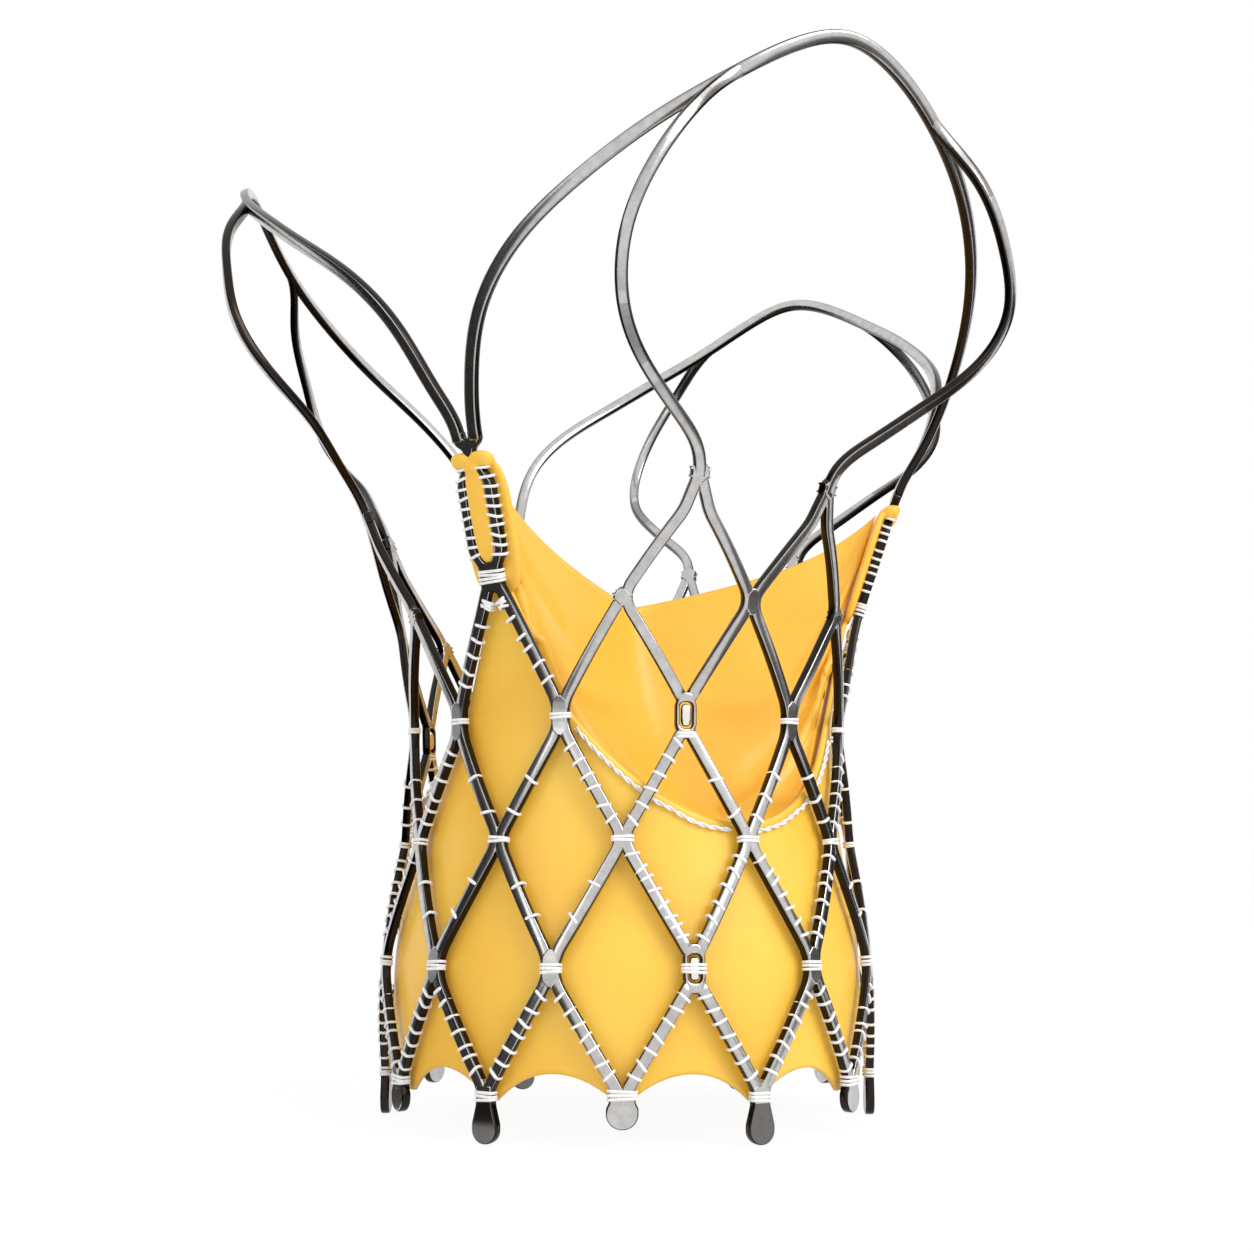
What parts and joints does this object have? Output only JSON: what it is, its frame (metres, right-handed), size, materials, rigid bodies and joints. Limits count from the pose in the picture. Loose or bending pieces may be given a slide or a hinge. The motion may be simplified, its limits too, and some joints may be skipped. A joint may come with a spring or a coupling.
{
  "type": "transcatheter aortic valve",
  "caption": "Self-expanding transcatheter aortic valve: a diamond-lattice stent with flared crown arches, closed tissue leaflets, a scalloped inner skirt and suture lashings.",
  "frame": {"origin": "centre of the inflow end, in the plane of the six long paddles' tips", "axes": "+Z along the blood's way from the inflow end to the outflow crown; -Y towards the middle of the first leaflet and its crown arch"},
  "size_m": [0.0458, 0.0414, 0.0512],
  "materials": {
    "nitinol": "satin, dark along the cut edges",
    "leaflet_tissue": "moist and smooth",
    "skirt_tissue": "moist and smooth",
    "suture": "braided and matt",
    "marker": "polished"
  },
  "bodies": {
    "root": {"stent_frame": "nitinol", "inner_skirt": "skirt_tissue", "leaflet_1": "leaflet_tissue", "leaflet_seam_1": "suture", "commissure_tab_1": "leaflet_tissue", "lower_marker_1": "marker", "upper_marker_1": "marker", "post_lashing_1": "suture", "leaflet_2": "leaflet_tissue", "leaflet_seam_2": "suture", "commissure_tab_2": "leaflet_tissue", "lower_marker_2": "marker", "upper_marker_2": "marker", "post_lashing_2": "suture", "leaflet_3": "leaflet_tissue", "leaflet_seam_3": "suture", "commissure_tab_3": "leaflet_tissue", "lower_marker_3": "marker", "upper_marker_3": "marker", "post_lashing_3": "suture", "long_paddle_lashings": "suture", "short_paddle_lashings": "suture", "lower_bar_lashings": "suture", "crossing_lashings": "suture", "upper_bar_lashings": "suture"}
  },
  "joints": []
}
